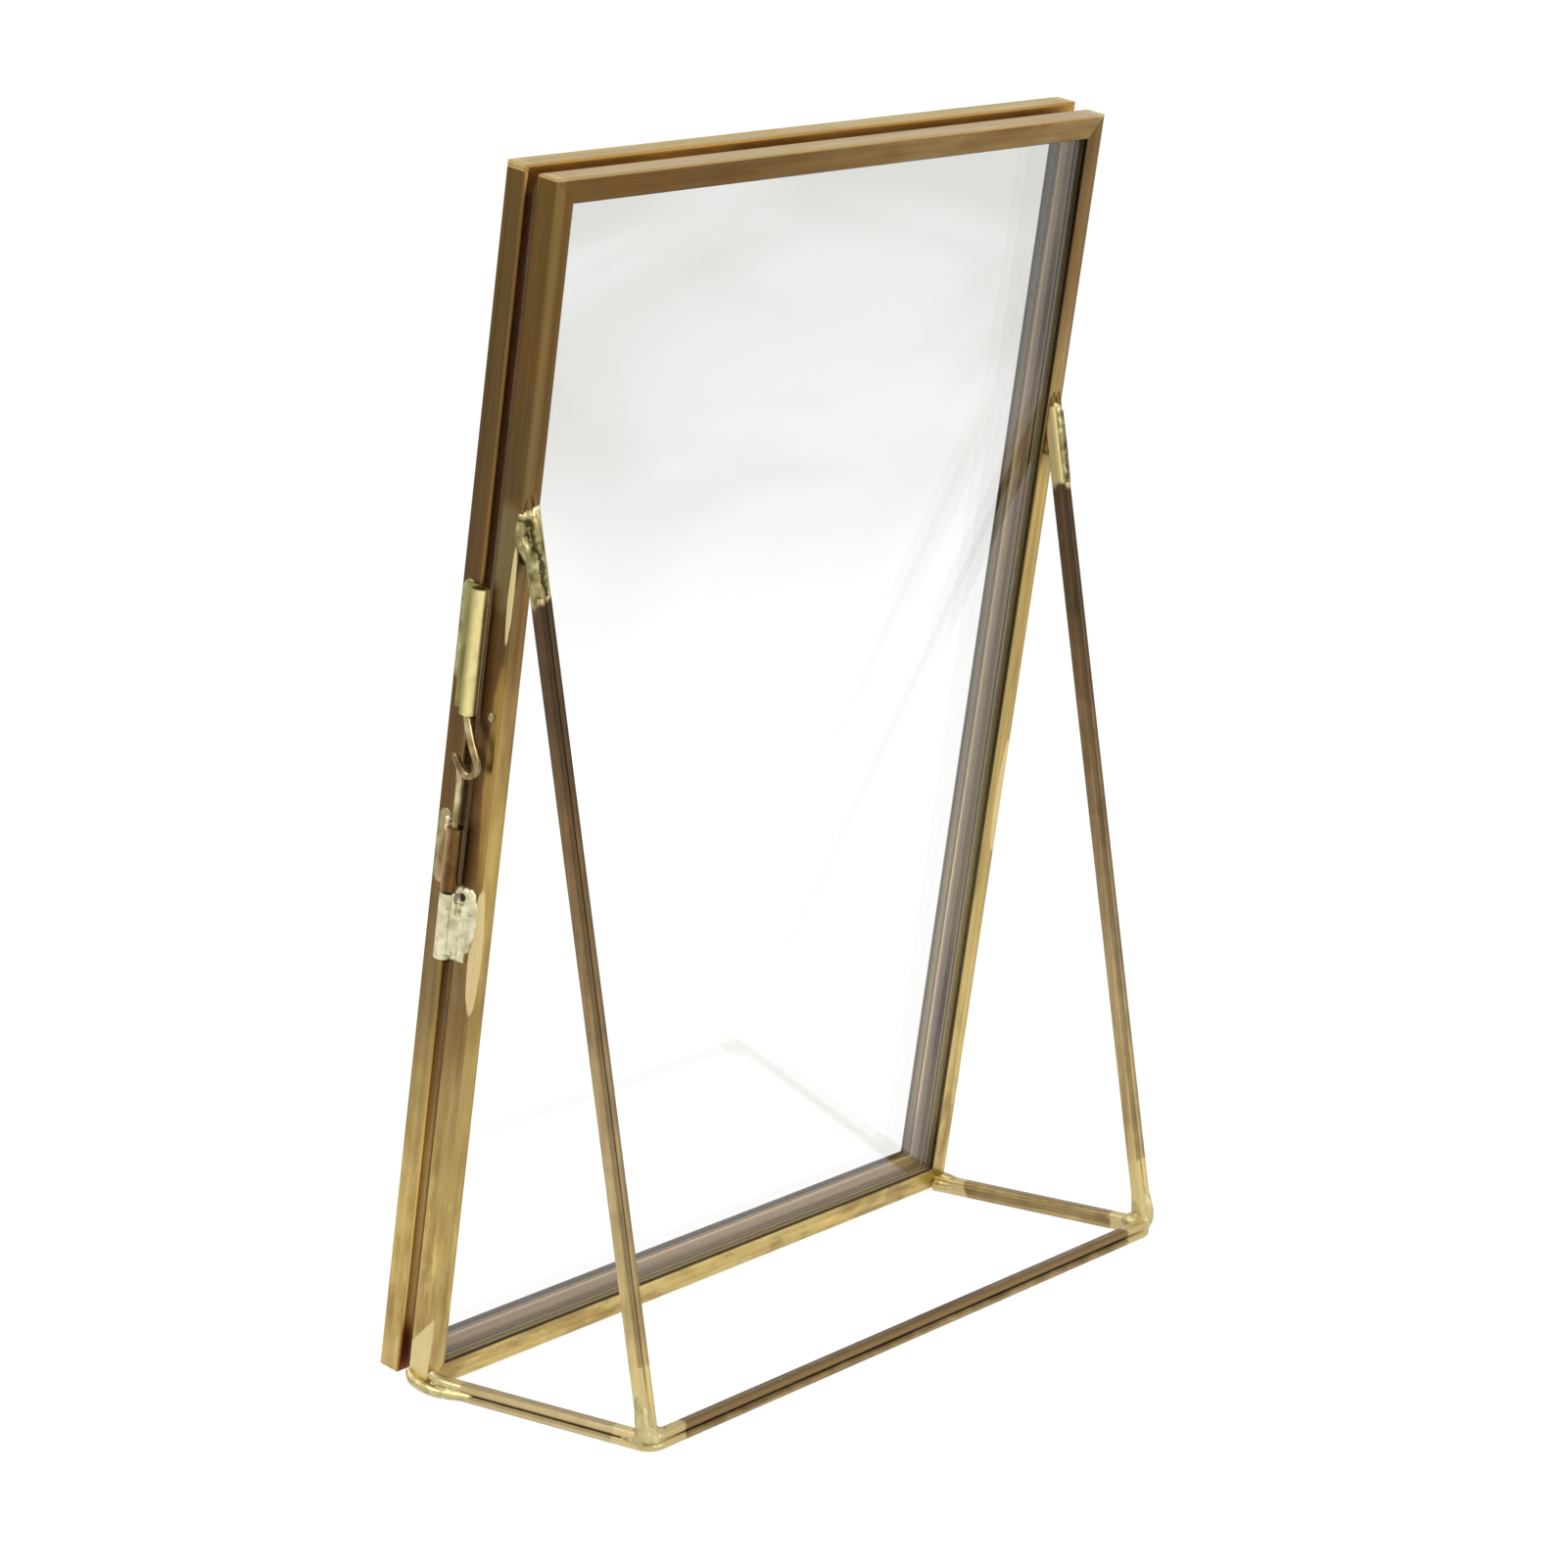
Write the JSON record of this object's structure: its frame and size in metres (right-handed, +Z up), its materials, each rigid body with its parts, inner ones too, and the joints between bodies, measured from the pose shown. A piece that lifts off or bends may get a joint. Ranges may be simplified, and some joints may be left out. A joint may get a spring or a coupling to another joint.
{
  "type": "floating picture frame",
  "caption": "Free-standing double-glass picture frame in aged brass channel, with a hinged front leaf, a sliding wire bolt and a soldered wire stand behind.",
  "frame": {"origin": "centre of the whole object's outer box in X and Y, on the table", "axes": "front of the frame faces -Y, the stand reaches out towards +Y, +Z is up; the hinges are on the -X side and the bolt is on the +X side"},
  "size_m": [0.115, 0.0479, 0.1623],
  "materials": {
    "channel_brass": "aged, unpolished folded strip",
    "stand_brass": "aged, unpolished folded strip",
    "tube_brass": "bright rolled strip and wire",
    "solder": "tin solder with a brass tint, left as it set",
    "clear_glass": "clear float glass"
  },
  "bodies": {
    "rear_leaf_and_stand": {"rear_leaf_top_bar": "channel_brass", "rear_leaf_bottom_bar": "channel_brass", "rear_leaf_hinge_bar": "channel_brass", "rear_leaf_latch_bar": "channel_brass", "rear_glass": "clear_glass", "base_hinge_side_bar": "stand_brass", "base_latch_side_bar": "stand_brass", "base_rear_bar": "stand_brass", "strut_hinge_side": "stand_brass", "strut_latch_side": "stand_brass", "strut_top_solder": "solder", "base_corner_solder": "solder", "base_front_solder": "solder", "lower_hinge_rear_knuckle": "tube_brass", "lower_hinge_pin": "tube_brass", "upper_hinge_rear_knuckle": "tube_brass", "upper_hinge_pin": "tube_brass", "hinge_solder_rear": "solder", "bolt_keeper": "tube_brass", "keeper_solder": "solder"},
    "front_leaf": {"front_leaf_top_bar": "channel_brass", "front_leaf_bottom_bar": "channel_brass", "front_leaf_hinge_bar": "channel_brass", "front_leaf_latch_bar": "channel_brass", "front_glass": "clear_glass", "lower_hinge_front_knuckles": "tube_brass", "upper_hinge_front_knuckles": "tube_brass", "hinge_solder_front": "solder", "bolt_guide_tube": "tube_brass", "bolt_guide_knuckle": "tube_brass", "guide_solder": "solder"},
    "bolt": {"latch_bolt": "tube_brass"}
  },
  "joints": [
    {"name": "front_leaf_hinge", "type": "hinge", "parent": "rear_leaf_and_stand", "child": "front_leaf", "pos_m": [-0.05642, -0.00325, 0.07966], "axis": [0, -0.2079, -0.9781], "range_deg": [0, 180]},
    {"name": "bolt_slide", "type": "slide", "parent": "front_leaf", "child": "bolt", "axis": [0, -0.2079, -0.9781], "range_m": [0, 0.006]}
  ]
}
